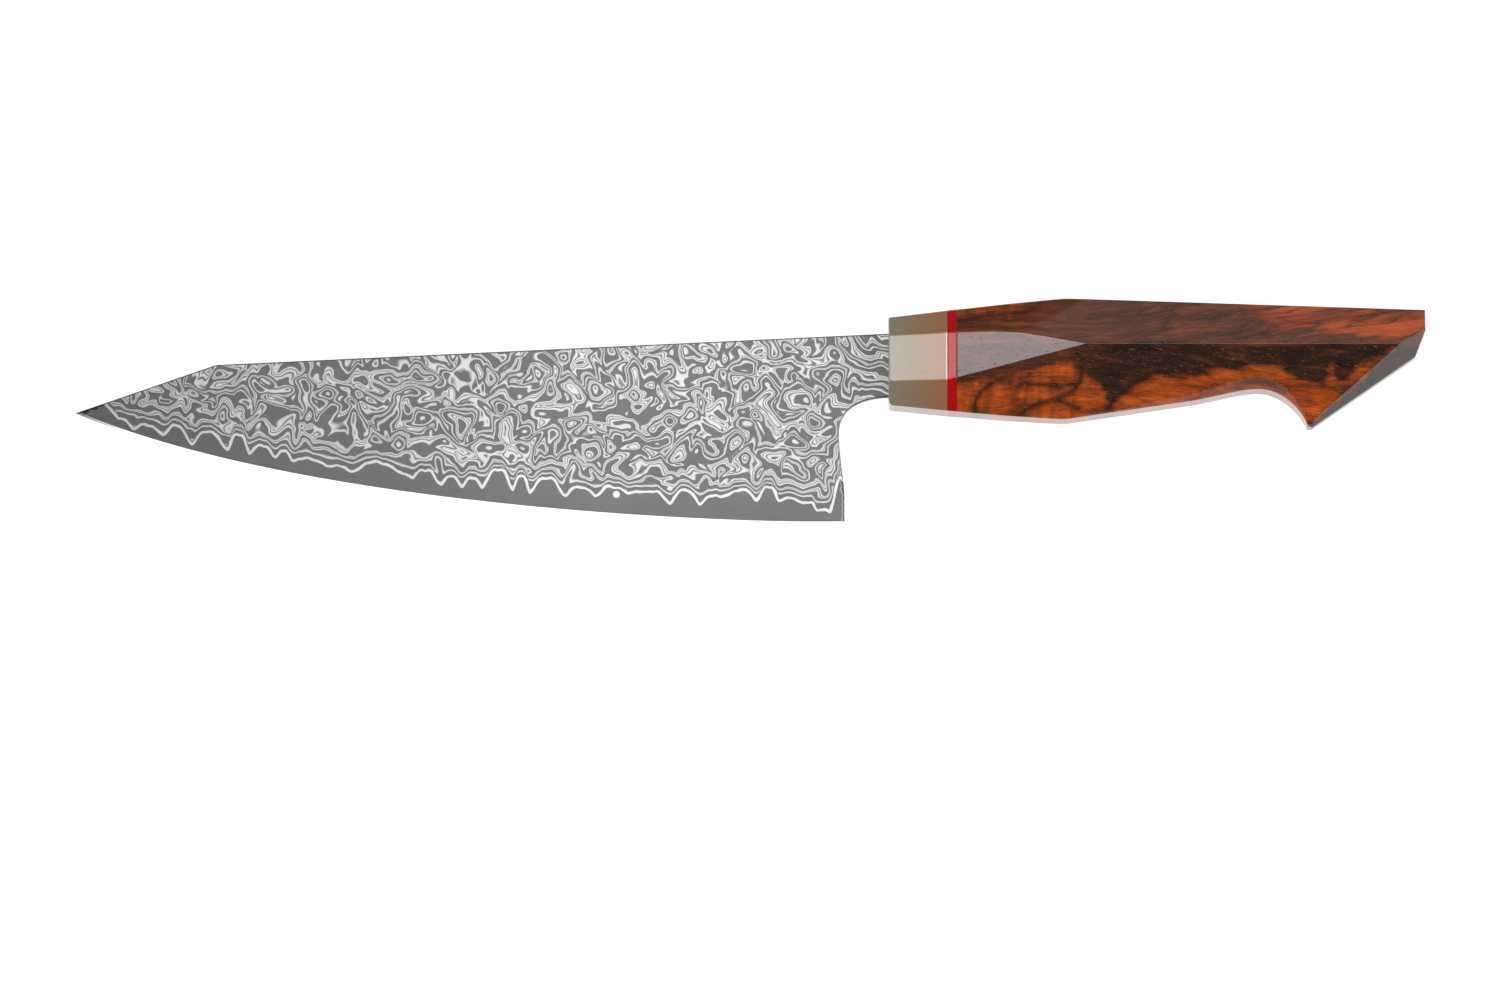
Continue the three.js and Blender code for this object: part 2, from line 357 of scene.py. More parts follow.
BEVEL_WIDTH = 0.65  # the ground cutting bevel
BEVEL_EDGE_HALF = 0.008
SPINE_ROUND = 0.4
ROUND_RINGS = (0.1, 0.45, 1.0)  # places of the inner rings of a rounded edge, as parts of its radius
RIM_END_X = NECK_END_X + 5  # the rounded lines run on past the neck's end
STEEL_RIM = np.array([spine_point(TIP[0] + 1.0), CORNER, spine_point(RIM_END_X)])
STEEL_UNDERSIDE = np.concatenate([[HEEL_TOP], CHOIL_LINE[3::6], [(RIM_END_X, NECK_BOTTOM[1])]])


def blade_half(x, y):
    """Half the blade's thickness, without its rounded edges."""
    up = np.clip(y - edge_y(x), 0, None)
    height = np.maximum(spine_y(x) - edge_y(x), 0.5)
    half = EDGE_HALF + (CORE_HALF - EDGE_HALF) * np.minimum(up / CORE_TAPER, 1)
    top = np.maximum(np.interp(x, SPINE_HALF_STATIONS, SPINE_HALF_VALUES), CORE_HALF) - CORE_HALF
    above = np.clip((up - CORE_TAPER) / np.maximum(height - CORE_TAPER, 0.5), 0, 1)
    half = half + top * above
    bevel = BEVEL_EDGE_HALF + up * (EDGE_HALF + 0.03 - BEVEL_EDGE_HALF) / BEVEL_WIDTH
    return np.minimum(half, bevel)


def from_rim(x, y):
    """Distance from the rounded edges: the spine, the choil and the neck's underside."""
    return np.minimum(distance_to(STEEL_RIM, x, y), distance_to(STEEL_UNDERSIDE, x, y))


def blade_surface(x, y):
    """Half the blade's thickness, with its rounded edges."""
    drop = rounding(from_rim(x, y), SPINE_ROUND)
    half = blade_half(x, y)
    return np.maximum(half - drop * np.minimum(half / CORE_HALF, 1), half * 0.3)


# The border between the core and the cladding

CLAD_START_X = -214.5
BORDER_LAST_X = -13.2
BORDER_END_Y = -33.4  # where the border runs out on the choil
BORDER_GAP = 0.35
# Where the cladding hangs down into the core, and where the core rises between: (x, height above the edge)
BORDER_DIPS = (
    (-211.9, 1.9), (-206.4, 1.3), (-198.4, 2.1), (-190.3, 1.7), (-180.6, 2.6), (-174.5, 2.8), (-167.4, 3.6),
    (-162.9, 3.7), (-152.5, 3.9), (-147.1, 3.4), (-130.0, 4.4), (-122.3, 3.0), (-116.4, 3.8), (-111.0, 3.8),
    (-102.6, 4.2), (-98.0, 4.3), (-88.4, 3.8), (-79.8, 4.5), (-70.5, 6.0), (-59.6, 4.1), (-51.4, 4.0),
    (-45.2, 6.2), (-36.0, 5.8), (-29.9, 5.7), (-23.4, 5.5), (-19.6, 3.3), (-15.8, 3.2),
)
BORDER_RISES = (
    (-214.5, 4.0), (-209.0, 3.0), (-202.4, 3.6), (-194.5, 5.5), (-186.0, 6.2), (-177.5, 7.8), (-171.0, 5.9),
    (-165.2, 5.7), (-158.0, 4.8), (-150.0, 4.6), (-139.0, 6.9), (-126.5, 7.2), (-119.4, 6.0), (-113.6, 6.6),
    (-106.5, 9.3), (-100.3, 8.2), (-93.0, 8.5), (-83.8, 7.0), (-75.0, 7.6), (-64.5, 6.8), (-55.6, 7.9),
    (-48.0, 6.8), (-40.0, 8.8), (-32.6, 9.5), (-26.5, 6.6), (-21.6, 5.9), (-17.7, 3.6), (-12.0, 13.0),
)
BORDER_WAVES = Noise(21)


def border_rise(x):
    """A smooth line over the tops of the core's rises."""
    return np.interp(x, *np.array(BORDER_RISES).T) * 0.5 + 3.6


def border_height(x):
    """The core's height above the edge: narrow rounded dips with broader rises between them."""
    knots = np.array(sorted(BORDER_DIPS + BORDER_RISES))
    dips = {at for at, _ in BORDER_DIPS}
    low_side = np.array([at in dips for at in knots[:, 0]])
    i = np.clip(np.searchsorted(knots[:, 0], x) - 1, 0, len(knots) - 2)
    t = np.clip((x - knots[i, 0]) / (knots[i + 1, 0] - knots[i, 0]), 0, 1)
    forward = low_side[i] | ~low_side[i + 1]  # each stretch is drawn from its dip, if it has one
    bent = np.minimum(np.where(forward, t, 1 - t) * 1.25, 1.0)
    bent = bent * bent * (3 - 2 * bent)
    start = np.where(forward, knots[i, 1], knots[i + 1, 1])
    end = np.where(forward, knots[i + 1, 1], knots[i, 1])
    wobble = 0.35 * BORDER_WAVES(x / 1.9, np.full(np.shape(x), 9.1))
    wobble = wobble + 0.45 * BORDER_WAVES(x / 4.3, np.full(np.shape(x), 3.3))
    return mix(start, end, bent) + wobble * np.clip((x - CLAD_START_X) / 20, 0, 1)


def border_y(x):
    return edge_y(x) + border_height(x)


# The cladding's layers: how many layers deep the surface is cut at each point.

# Layers per millimetre at the border, away from it and at the neck
NEAR_RATE, FAR_RATE, NECK_RATE = 0.52, 0.11, 0.22
RATE_FADE = 3.4
BEND, CURL = (2.4, 8.0), (0.6, 3.0)  # how the layers are swept sideways: (amount, size)
HILLS, RIDGES, BUMPS = (1.1, 9.0), (-1.8, 6.0), (0.3, 3.4)  # how they rise and fall: (amount, size)
CALM = (1.2, 8.5)  # they run level up to the first height above the border, and freely above the second


def layer_depth(x, y, seed):
    noise = [Noise(seed + i) for i in range(7)]

    def field(index, scale, x, y):
        amount, size = scale
        return amount * noise[index](x / size, y / size)

    height = border_height(x)
    above = y - edge_y(x) - height
    dip = border_rise(x) - height
    level = above + height - border_rise(x) + dip * np.exp(-np.maximum(above, 0) / 6.0)
    depth = FAR_RATE * level + (NEAR_RATE - FAR_RATE) * RATE_FADE * (1 - np.exp(-level / RATE_FADE))
    wx = x + field(0, BEND, x, y) + field(1, CURL, x, y)
    wy = y + field(2, BEND, x, y) + field(3, CURL, x, y)
    ridges, ridge_size = RIDGES
    wild = field(4, HILLS, wx, wy)
    wild = wild + ridges * (np.abs(noise[5](wx / ridge_size, wy / ridge_size)) - 0.3)
    wild = wild + field(6, BUMPS, wx, wy)
    calm = ease(above, *CALM)
    neck = ease(x, -16, -5)
    return depth + NECK_RATE * neck * (y + 10) + calm * (1 - 0.6 * neck) * wild


def border_line():
    """The border from the spine near the tip to the choil."""
    border_x = spaced([(CLAD_START_X, 0), (BORDER_LAST_X, 0)], BORDER_GAP)[:, 0]
    border = np.column_stack([border_x, border_y(border_x)])
    border[0] = spine_point(CLAD_START_X)
    start_fall = border[0, 1] - (border_x - CLAD_START_X) * 1.1
    border[:, 1] = np.minimum(np.maximum(border[:, 1], start_fall), spine_y(border_x))
    order = np.argsort(CHOIL_LINE[:, 1])
    end_x = float(np.interp(BORDER_END_Y, CHOIL_LINE[order, 1], CHOIL_LINE[order, 0]))
    return np.concatenate([border, [(end_x, BORDER_END_Y)]])


BORDER = border_line()
BORDER_START, BORDER_END = BORDER[0], BORDER[-1]


def clad_top_line(gap):
    """From the neck's bottom end round the neck and along the spine to the border's start."""
    end_top = spine_point(NECK_END_X)
    return [
        spaced([NECK_BOTTOM, (NECK_END_X, NECK_BOTTOM[1])], gap),
        spaced([(NECK_END_X, NECK_BOTTOM[1]), end_top], gap),
        spaced([end_top, CORNER], gap),
        spaced([CORNER, BORDER_START], gap),
    ]


def choil_parts(gap):
    """The choil below the border and above it."""
    split = BORDER_END[1]
    low = CHOIL_LINE[CHOIL_LINE[:, 1] < split]
    high = CHOIL_LINE[CHOIL_LINE[:, 1] > split]
    return (
        spaced(np.concatenate([low, [BORDER_END]]), gap),
        spaced(np.concatenate([[BORDER_END], high]), gap),
    )


OUTLINE_GAP = 0.5
CHOIL_GAP = 0.4
CHOIL_LOW, CHOIL_HIGH = choil_parts(CHOIL_GAP)
CLAD_OUTLINE = chain(CHOIL_HIGH, *clad_top_line(OUTLINE_GAP), BORDER)
STEEL_OUTLINE = chain(
    spaced(EDGE_LINE, OUTLINE_GAP),
    spaced([HEEL, HEEL_TOP], OUTLINE_GAP),
    CHOIL_LOW,
    CHOIL_HIGH,
    *clad_top_line(OUTLINE_GAP),
    spaced([BORDER_START, TIP], OUTLINE_GAP),
)

COVERED_STEP = 0.3  # the core lies this far inside its border before it is fully below the cladding
COVERED_SLOPE = 0.2


def interface(x, y):
    """The core's surface under the cladding."""
    covered = np.clip(y - np.interp(x, BORDER[:, 0], BORDER[:, 1]), 0, None)
    return np.minimum(CORE_HALF, blade_surface(x, y) - COVERED_SLOPE * np.minimum(covered, COVERED_STEP))


def covered_line():
    """Just inside the border, where the core has dropped below the cladding."""
    return BORDER[3:-3] + np.array([0, COVERED_STEP])


def core_surface(x, y):
    bare = y <= np.interp(x, BORDER[:, 0], BORDER[:, 1]) + 1e-4
    bare |= x < CLAD_START_X
    return np.where(bare, blade_surface(x, y), interface(x, y))


def shifted(line, distance):
    """A line moved sideways, to its left when the distance is positive."""
    along = np.gradient(line, axis=0)
    along /= np.hypot(*along.T)[:, None]
    return line + distance * np.column_stack([-along[:, 1], along[:, 0]])


def steel_rings():
    """Inner lines that give the spine, the neck and the choil their rounded edges."""
    rings = []
    under = np.concatenate([CHOIL_HIGH, [(NECK_END_X, NECK_BOTTOM[1])]])
    top = spaced([BORDER_START, CORNER, spine_point(NECK_END_X)], OUTLINE_GAP)
    for part in ROUND_RINGS:
        rings.append(shifted(spaced(under, CHOIL_GAP), part * SPINE_ROUND)[2:-2])
        rings.append(shifted(top, -part * SPINE_ROUND)[4:-2])
    return rings


def bevel_line():
    """Where the ground bevel starts, above the cutting edge."""
    line = spaced(EDGE_LINE, OUTLINE_GAP)[3:-2]
    return line + np.array([0, BEVEL_WIDTH])


DOT = (-74.3, -35.9)  # a stray spot of cladding in the core
BAND_HEIGHT = 5.0  # heights above the edge are counted up to this


def above_edge(x, y):
    """Height above the cutting edge, for the ground bevel."""
    return [np.clip(y - edge_y(x), 0, BAND_HEIGHT)]


def make_core(material):
    mesh = Mesh()
    lines = [BORDER[1:-1], covered_line(), bevel_line()]
    cutting_edge = range(len(spaced(EDGE_LINE, OUTLINE_GAP)))
    sides = [
        mesh.surface(STEEL_OUTLINE, lines, 1.0, core_surface, side, above_edge, cutting_edge, blade_surface)
        for side in (1, -1)
    ]
    mesh.walls(*sides)
    add_tang(mesh)
    mesh.finish("Core", material, ["core_steel"], ["above_edge"])


def add_tang(mesh):
    """The stick tang inside the handle, with its corners eased."""
    ring = []
    for x, height in ((TANG_START_X, TANG_HEIGHTS[0]), (TANG_END_X, TANG_HEIGHTS[1])):
        half = height / 2
        loop = []
        for sy, sz in ((1, 1), (-1, 1), (-1, -1), (1, -1)):
            corner = [(sy * half, sz * (TANG_HALF - TANG_EASE)), (sy * (half - TANG_EASE), sz * TANG_HALF)]
            loop += corner if sy * sz > 0 else corner[::-1]
        ring.append([(x, TANG_MID_Y + a, b) for a, b in loop])
    points = np.array(ring[0] + ring[1])
    normals = points - np.array([0, TANG_MID_Y, 0])
    normals[:, 0] = 0
    normals /= np.linalg.norm(normals, axis=1)[:, None]
    start = mesh.add(points, normals, np.full((len(points), 1), BAND_HEIGHT))
    count = len(ring[0])
    for i in range(count):
        j = (i + 1) % count
        mesh.faces.append([start + i, start + j, start + count + j, start + count + i])
    mesh.faces.append([start + i for i in range(count)])
    mesh.faces.append([start + count + i for i in range(count)][::-1])


CLAD_LAYERS = ["layer_depth", "from_border", "from_rim"]
FAR_ENOUGH = 3.0  # distances from the border and the rim are counted up to this


def make_cladding(name, side, seed, material, node):
    mesh = Mesh()

    def layers(x, y):
        distances = distance_to(BORDER, x, y), from_rim(x, y)
        return [layer_depth(x, y, seed)] + [np.minimum(value, FAR_ENOUGH) for value in distances]

    grid = 0.42
    border_points = range(len(CLAD_OUTLINE) - len(BORDER) + 1, len(CLAD_OUTLINE))
    face = mesh.surface(CLAD_OUTLINE, steel_rings(), grid, blade_surface, side, layers, border_points)
    under = mesh.surface(CLAD_OUTLINE, [covered_line()], 4.0, interface, side, layers)
    mesh.walls(face, under, skip=set(border_points))
    mesh.finish(name, material, [node], CLAD_LAYERS)


# ---- Handle shape ----

SOFT_BLEND = 1.2  # how softly the front top facet turns into the rear one
FACET_ROUND = 0.07
EDGE_ROUND = 0.35
FERRULE_ROUND = 0.45  # the rounding of the ferrule's front edge
FERRULE_CORNER = (0.9, 1.6)  # how far back and how far up its lower front corner is rounded off
FERRULE_BEVEL = 0.55  # the polished bevel on the ferrule's rear edge
REAR_BEVEL_SLOPE = 0.52
LINE_GAP = 0.6  # between the outline's points along the top and the bottom
END_GAP = 0.5  # and across the ends
STATIONS = (0.0, FERRULE_END, SPACER_END, KNEE_X)

GROOVE_FALL = bezier(GROOVE_TOP, GROOVE_FALL_PULLS, GROOVE_END, 40)
GROOVE_FALL = GROOVE_FALL[GROOVE_FALL[:, 1] > BEAK_TIP[1] + 0.05][::2]
GROOVE_LINE = np.concatenate([
    spaced([BOTTOM_LINE[-1], GROOVE_RAMP_END], 3.0)[:-1],
    bezier(GROOVE_RAMP_END, GROOVE_RISE_PULLS, GROOVE_TOP, 10)[:-1],
    GROOVE_FALL,
])


def softened(line, reach, gap=0.5):
    """A line with its kinks rounded over a distance."""
    fine = spaced(line, gap)
    width = max(int(reach / gap), 1)
    padded = np.concatenate([
        2 * fine[0] - fine[width:0:-1], fine, 2 * fine[-1] - fine[-2:-width - 2:-1]
    ])
    kernel = np.hanning(2 * width + 3)[1:-1]
    kernel /= kernel.sum()
    return np.column_stack([np.convolve(padded[:, i], kernel, "valid") for i in (0, 1)])


TOP_CURVE = softened(TOP_LINE, 3.0)
BOTTOM_CURVE = softened(np.concatenate([BOTTOM_LINE[:-1], GROOVE_LINE[:-6]]), 2.0)
BOTTOM_CURVE = np.concatenate([BOTTOM_CURVE, GROOVE_LINE[-5:]])
BUTT_LINES = np.array([BUTT_LOW, BEAK_TOP, BEAK_TIP])


def top_facets(x, y):
    """The half-width at the front and rear top facets, which blend softly into each other."""
    front_y = np.interp(x, (*STATIONS, 47.2, 60.0), (6.3, 7.2, 7.3, 7.9, 9.4, 10.8))
    front_slope = np.interp(x, STATIONS, (1.009, 0.853, 0.829, 0.725))
    rear_y = np.where(x < POINT_X, RIDGE_Y + (POINT_X - x) * 0.17, RIDGE_Y)
    rear_slope = np.interp(x, (KNEE_X, POINT_X), (0.485, 0.439))
    front = SIDE_HALF - front_slope * (y - front_y)
    rear = SIDE_HALF - rear_slope * (y - rear_y)
    return soft_min(front, rear, SOFT_BLEND)


def side_top_line():
    """Where the side facet meets the top facets, from the front to the point on the ridge."""
    ys = np.linspace(RIDGE_Y, 12, 400)
    line = []
    for x in np.arange(0, POINT_X - 0.3, 0.6):
        above_side = SIDE_HALF - top_facets(np.full(len(ys), x), ys)
        line.append((x, float(np.interp(0, above_side, ys))))
    return line + [(POINT_X, RIDGE_Y)]


def facets(x, y):
    """The handle's half-width from its facets: the side, top, lower, groove and beak ones."""
    low_y = np.interp(x, *zip(*LOWER_EDGE))
    low_slope = np.interp(x, (*STATIONS, PEAK[0], POINT_X), (1.018, 0.753, 0.690, 0.455, 0.349, 0.320))
    lower = SIDE_HALF - low_slope * (low_y - y)
    groove = GROOVE_HALF + GROOVE_FLARE_SLOPE * distance_to(GROOVE_LINE, x, y)
    beak = SIDE_HALF - (174 * (x - BEAK_X) - 253 * (y - RIDGE_Y)) / 155
    half = top_facets(x, y)
    for other in (lower, SIDE_HALF, groove, beak):
        half = soft_min(half, other, FACET_ROUND)
    return half


def handle_part(start_x, end_x, edge_round, front_round=0.0, rear_bevel=0.0):
    """The outline and height function of the handle between two stations."""
    top = clipped(TOP_CURVE, start_x, end_x)
    if end_x >= BUTT_X:
        bottom = clipped(BOTTOM_CURVE, start_x, GROOVE_END[0] + 1)
        back = np.concatenate([top[-1:], BUTT_LINES, bottom[-1:]])
    else:
        bottom = clipped(BOTTOM_CURVE, start_x + (FERRULE_CORNER[0] if front_round else 0.0), end_x)
        back = np.array([top[-1], bottom[-1]])
    front = [bottom[0], top[0]]
    if front_round:
        back_by, up_by = FERRULE_CORNER
        low_y = bottom[0][1]
        front[1:1] = [(start_x + 0.3 * back_by, low_y + 0.3 * up_by), (start_x, low_y + up_by)]
    front = np.array(front)
    outline = chain(
        spaced(top, LINE_GAP), spaced_corners(back, END_GAP),
        spaced(bottom[::-1], LINE_GAP), spaced_corners(front, END_GAP),
    )
    loop = np.concatenate([top, back[1:], bottom[::-1][1:], front[1:]])

    def height(x, y):
        half = facets(x, y) - rounding(distance_to(loop, x, y), edge_round)
        if front_round:
            half = half - rounding(x - start_x, front_round)
        if rear_bevel:
            half = half - REAR_BEVEL_SLOPE * np.clip(x - (end_x - rear_bevel), 0, None)
        return half

    return outline, height


def clipped(line, start_x, end_x):
    """The part of a left-to-right line between two x values, cut exactly there."""
    x, y = line.T
    keep = (x > start_x + 0.05) & (x < end_x - 0.05)
    first = (max(start_x, x[0]), np.interp(start_x, x, y))
    last = (min(end_x, x[-1]), np.interp(end_x, x, y))
    return np.concatenate([[first], line[keep], [last]])


def spaced_corners(line, gap):
    """Like `spaced`, but every corner of the line is kept."""
    legs = [spaced([a, b], gap) for a, b in zip(line[:-1], line[1:])]
    return np.concatenate([leg[:-1] for leg in legs] + [legs[-1][-1:]])


def rings_inside(outline, radius):
    """Inner lines that give an outline its rounded edge."""
    normals = outward(outline)[:, :2]
    return [outline - normals * radius * part for part in ROUND_RINGS]


def facet_lines(start_x, end_x):
    """Lines along the facets' edges, so that the triangles follow them."""
    edges = [
        side_top_line(),
        LOWER_EDGE,
        [(POINT_X, RIDGE_Y), (BEAK_X, RIDGE_Y)],
        [(BEAK_X, RIDGE_Y), (115.2, -16.5)],
        [(BEAK_X, RIDGE_Y), BUTT_LOW],
    ]
    lines = []
    inset = 0.8
    for edge in edges:
        edge = spaced_corners(np.array(edge, float), LINE_GAP)
        for shift in (-0.22, 0.0, 0.22):
            line = shifted(edge, shift)
            keep = (line[:, 0] > start_x + inset) & (line[:, 0] < end_x - inset)
            keep &= line[:, 1] > -15.6
            if keep.sum() > 2:
                lines.append(line[keep])
    return lines


# The wood's figure: the outline of the dark heartwood, and the black veins that wind through the front

HEARTWOOD = np.array([
    (15.0, 10.0), (15.0, -8.2), (24.0, -6.6), (33.0, -4.6), (43.0, -2.2), (50.5, -1.2), (53.0, -4.5),
    (57.5, -7.0), (60.3, -13.5), (64.4, -8.4), (71.0, -5.2), (80.0, -4.9), (90.5, -3.4), (101.0, -2.2),
    (107.0, -2.8), (112.5, -6.0), (119.0, -6.4), (121.0, -1.5), (122.5, -6.5), (125.5, -5.5), (128.0, -2.6),
    (137.5, 2.4), (114.2, -17.0), (116.0, -19.5), (146.0, 0.5), (148.0, 9.0), (139.0, 5.9), (124.0, 7.6),
    (104.0, 10.4), (88.0, 18.5), (40.0, 19.5), (33.0, 11.5), (25.0, 11.5), (15.0, 10.0),
])
VEINS = [
    [(32.0, -5.2), (26.0, -6.5), (22.0, -11.0), (24.2, -14.6)],
    [(35.3, -7.2), (40.0, -5.6), (44.0, -8.2), (50.5, -6.6)],
    [(51.6, 1.5), (54.8, -6.5), (50.5, -10.0), (41.0, -11.6)],
    [(43.6, -11.4), (39.5, -11.8), (37.5, -13.2), (35.8, -15.0)],
    [(45.5, -11.0), (48.0, -11.2), (50.0, -12.6), (52.0, -13.0)],
    [(71.0, -4.6), (66.0, -6.4), (63.5, -9.0), (59.5, -13.0)],
    [(18.6, 11.4), (22.0, 8.6), (25.0, 14.2), (29.0, 12.0)],
    [(29.0, 12.0), (32.0, 13.6), (35.0, 11.8), (40.0, 14.6)],
]
VEIN_LINES = [spaced(bezier(vein[0], vein[1:3], vein[3], 40), LINE_GAP) for vein in VEINS]


def wood_figure(x, y):
    """How deep inside the heartwood each point is, and how far from the nearest black vein."""
    depth = distance_to(HEARTWOOD, x, y) * np.where(inside(HEARTWOOD[:-1], x, y), 1, -1)
    to_vein = np.full(np.shape(x), 5.0)
    for line in VEIN_LINES:
        to_vein = np.minimum(to_vein, distance_to(line, x, y))
    return [depth, to_vein]


def ferrule_lines():
    """Upright lines through the ferrule's front rounding and round its rear bevel."""
    front = [FERRULE_ROUND * part for part in (0.5, 1.0)]
    bevel_start = FERRULE_END - FERRULE_BEVEL
    rear = [bevel_start - 0.02, bevel_start + 0.02, FERRULE_END - 0.12]
    lines = [spaced([(at, -9.8), (at, 11.2)], 0.5) for at in front]
    lines += [spaced([(at, -12.6), (at, 13.0)], 0.5) for at in rear]
    return lines


def make_handle_part(
    name, start_x, end_x, edge_round, spacing, material, node, lines=(), figure=None, layers=(),
    front_round=0.0, rear_bevel=0.0,
):
    """One piece of the handle. `figure` gives the values of its `layers`."""
    outline, height = handle_part(start_x, end_x, edge_round, front_round, rear_bevel)
    mesh = Mesh()
    inner = rings_inside(outline, edge_round) + list(lines)
    sides = [mesh.surface(outline, inner, spacing, height, side, figure) for side in (1, -1)]
    mesh.walls(*sides)
    mesh.finish(name, material, [node], layers)


# ---- Materials ----


class Look:
    """Builds one node material around a Principled shader."""

    def __init__(self, name, **settings):
        self.material = bpy.data.materials.new(name)
        self.material.use_nodes = True
        self.tree = self.material.node_tree
        self.shader = self.tree.nodes["Principled BSDF"]
        for socket, value in settings.items():
            self.shader.inputs[socket.replace("_", " ")].default_value = value

    def node(self, kind, inputs=None, **settings):
        made = self.tree.nodes.new(kind)
        for key, value in settings.items():
            setattr(made, key, value)
        for socket, value in (inputs or {}).items():
            self.set(made.inputs[socket], value)
        return made

    def set(self, socket, value):
        if isinstance(value, bpy.types.NodeSocket):
            self.tree.links.new(value, socket)
        else:
            socket.default_value = value

    def out(self, socket, value):
        self.set(self.shader.inputs[socket], value)

    def place(self, stretch=(1, 1, 1), turn=(0, 0, 0)):
        """Object coordinates in millimetres, turned and then divided by `stretch`."""
        here = self.node("ShaderNodeTexCoord").outputs["Object"]
        turned = self.node("ShaderNodeMapping", {"Vector": here, "Rotation": turn})
        return self.node(
            "ShaderNodeMapping",
            {"Vector": turned.outputs[0], "Scale": tuple(1 / (MM * s) for s in stretch)},
        ).outputs[0]

    def noise(self, where, scale=1.0, detail=2.0, rough=0.5, twist=0.0):
        return self.node(
            "ShaderNodeTexNoise",
            {"Vector": where, "Scale": scale, "Detail": detail, "Roughness": rough, "Distortion": twist},
        ).outputs["Fac"]

    def math(self, operation, a, b=0.0, c=0.0):
        return self.node("ShaderNodeMath", {0: a, 1: b, 2: c}, operation=operation).outputs[0]

    def times(self, a, b):
        return self.math("MULTIPLY", a, b)

    def stray(self, value, noise, amount):
        """A value that a noise moves up and down."""
        return self.math("MULTIPLY_ADD", self.math("SUBTRACT", noise, 0.5), amount, value)

    def layer(self, name):
        """A value stored at the mesh's points."""
        return self.node("ShaderNodeAttribute", attribute_name=name).outputs["Fac"]

    def parts(self, where):
        return self.node("ShaderNodeSeparateXYZ", {0: where}).outputs

    def vector(self, operation, a, b=None, scale=None):
        made = self.node("ShaderNodeVectorMath", {0: a}, operation=operation)
        if b is not None:
            self.set(made.inputs[1], b)
        if scale is not None:
            made.inputs["Scale"].default_value = scale
        return made.outputs[0]

    def spread(self, value, low, high, start=0.0, end=1.0):
        return self.node(
            "ShaderNodeMapRange", {0: value, 1: low, 2: high, 3: start, 4: end}, clamp=True
        ).outputs[0]

    def mix(self, amount, a, b, how="MIX"):
        made = self.node("ShaderNodeMix", data_type="RGBA", blend_type=how)
        self.set(made.inputs[0], amount)
        self.set(made.inputs[6], a)
        self.set(made.inputs[7], b)
        return made.outputs[2]

    def ramp(self, value, stops, how="LINEAR"):
        made = self.node("ShaderNodeValToRGB", {0: value})
        ramp = made.color_ramp
        ramp.interpolation = how
        while len(ramp.elements) < len(stops):
            ramp.elements.new(1.0)
        for element, (at, colour) in zip(ramp.elements, stops):
            element.position = at
            element.color = grey(colour) if isinstance(colour, (int, float)) else colour
        return made.outputs[0]

    def bump(self, height, strength, distance):
        normal = self.node(
            "ShaderNodeBump", {"Height": height, "Strength": strength, "Distance": distance * MM}
        )
        self.out("Normal", normal.outputs[0])


def grey(value):
    return (value, value, value, 1)


def rgb(red, green, blue):
    """A colour given as it looks on screen, 0 to 255, as linear values."""
    def linear(v):
        v /= 255
        return v / 12.92 if v <= 0.04045 else ((v + 0.055) / 1.055) ** 2.4
    return (linear(red), linear(green), linear(blue), 1)


def painted_falloff_along_blade(look):
    """Painted shade: the steel's colour is darkened towards the tip and slightly at the heel, where the light
    falls off.
    """
    along = look.parts(look.place())[0]
    start, end = (TIP[0] + ORIGIN.x / MM, ORIGIN.x / MM)
    return look.ramp(look.spread(along, start, end), [
        (0.0, 0.58), (0.3, 0.78), (0.65, 1.0), (0.8, 1.0), (1.0, 0.95),
    ], "EASE")


def layered_steel():
    look = Look("LayeredSteel", Metallic=1.0)
    dark, light, line, fade = 0.185, 0.66, 0.27, 0.36
    first_layer = 0.72  # the bright layer next to the core
    rim = 0.16  # the plain steel of the rounded spine and choil
    phase = look.math("FRACT", look.times(look.layer("layer_depth"), 0.5))
    bands = look.ramp(phase, [
        (0.00, light), (0.04, light), (0.06, line), (0.08, line), (0.10, light), (0.13, light),
        (0.155, dark), (0.34, dark), (0.37, light), (0.40, light), (0.435, fade), (0.455, dark),
        (0.55, dark), (0.57, light), (0.59, light), (0.605, line), (0.625, line), (0.64, light),
        (0.665, light), (0.695, dark), (0.84, dark), (0.87, light), (0.92, light), (0.95, fade),
        (0.96, dark), (0.98, dark), (1.00, light),
    ])
    uneven = look.noise(look.place((2.2, 2.2, 2.2)), 1.0, 2.0)
    first = look.stray(look.layer("from_border"), uneven, 0.9)
    bands = look.mix(look.spread(first, 1.05, 0.95), bands, grey(dark))
    bands = look.mix(look.spread(first, 0.8, 0.62), bands, grey(first_layer))
    bands = look.mix(look.spread(look.layer("from_rim"), 0.42, 0.25), bands, grey(rim))
    cloud = look.noise(look.place((5, 5, 5)), 1.0, 2.0)
    shaded = look.mix(0.6, bands, look.spread(cloud, 0.3, 0.7, 0.86, 1.08), "MULTIPLY")
    # the pattern is multiplied by the painted shade towards the tip and the heel
    look.out("Base Color", look.mix(1.0, shaded, painted_falloff_along_blade(look), "MULTIPLY"))
    look.out("Roughness", look.spread(bands, dark, light, 0.50, 0.43))
    scratch = look.noise(look.place((12, 0.12, 12)), 1.0, 2.0)
    relief = look.math("MULTIPLY_ADD", scratch, 0.15, bands)
    look.bump(relief, 0.25, 0.03)
    return look.material


